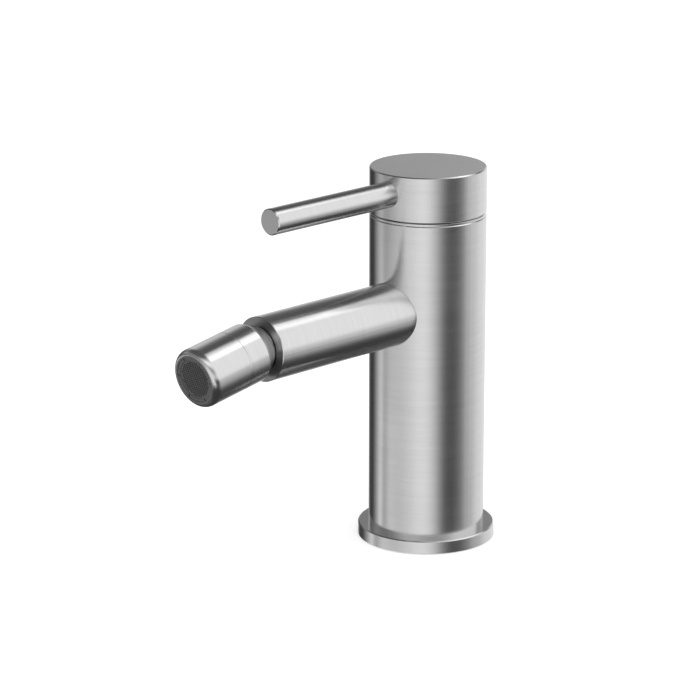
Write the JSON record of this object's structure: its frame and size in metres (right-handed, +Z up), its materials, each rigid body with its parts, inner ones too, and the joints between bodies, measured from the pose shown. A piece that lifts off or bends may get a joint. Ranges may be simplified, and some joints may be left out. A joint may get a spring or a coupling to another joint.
{
  "type": "bidet mixer",
  "caption": "Single-lever bidet mixer: turned steel column on a base ring, pin lever on a round cap, straight spout and a ball-jointed outlet nozzle with aerator.",
  "frame": {"origin": "centre of the column's underside, in the plane of the deck", "axes": "+Z up along the column, spout and lever towards -Y, cold inlet towards +X"},
  "size_m": [0.0534, 0.1504, 0.1476],
  "materials": {
    "brushed_steel": "fine turned grain, satin",
    "steel_dark": "plain",
    "brass": "turned",
    "rubber": "matt",
    "ceramic": "lapped",
    "white_plastic": "moulded",
    "grey_plastic": "moulded"
  },
  "bodies": {
    "mixer": {"body": "brushed_steel", "base_ring": "brushed_steel", "base_gasket": "rubber", "trim_ring": "brushed_steel", "cartridge_nut": "brass", "cartridge_housing": "white_plastic", "cartridge_plate": "white_plastic", "port_seals": "rubber", "fixed_disc": "ceramic", "spout": "brushed_steel", "spout_nipple": "brass", "spout_seal": "rubber", "joint_bush": "brass"},
    "turret": {"rotary_guide": "white_plastic", "stem_pin": "steel_dark"},
    "handle": {"stem": "brass", "handle_cap": "brushed_steel", "lever": "brushed_steel", "grub_screw": "steel_dark"},
    "shuttle": {"slide_disc": "ceramic", "disc_carrier": "white_plastic"},
    "swivel": {"ball_stud": "brushed_steel", "journal_seal": "rubber", "journal_clip": "steel_dark"},
    "nozzle": {"nozzle_cup": "brushed_steel", "ball_seat": "white_plastic", "seat_seal": "rubber", "nozzle_sleeve": "brushed_steel", "aerator_insert": "grey_plastic", "aerator_grid": "grey_plastic", "flow_regulator": "white_plastic", "aerator_strainer": "white_plastic", "aerator_washer": "rubber"}
  },
  "joints": [
    {"name": "handle_turn", "type": "hinge", "parent": "mixer", "child": "turret", "pos_m": [0, 0, 0.117], "axis": [0, 0, 1], "range_deg": [-50, 50]},
    {"name": "handle_lift", "type": "hinge", "parent": "turret", "child": "handle", "pos_m": [0, 0, 0.117], "axis": [-1, 0, 0], "range_deg": [0, 20]},
    {"name": "disc_slide", "type": "slide", "parent": "turret", "child": "shuttle", "axis": [0, -1, 0], "range_m": [0, 0.0019]},
    {"name": "nozzle_swivel", "type": "hinge", "parent": "mixer", "child": "swivel", "pos_m": [0, -0.0946, 0.0928], "axis": [0, -1, 0], "continuous": true},
    {"name": "nozzle_tilt", "type": "hinge", "parent": "swivel", "child": "nozzle", "pos_m": [0, -0.0946, 0.0928], "axis": [1, 0, 0], "range_deg": [-24.8, 5.2]}
  ],
  "couplings": [
    {"joint": "disc_slide", "follows": "handle_lift", "m_per_rad": 0.005291}
  ]
}
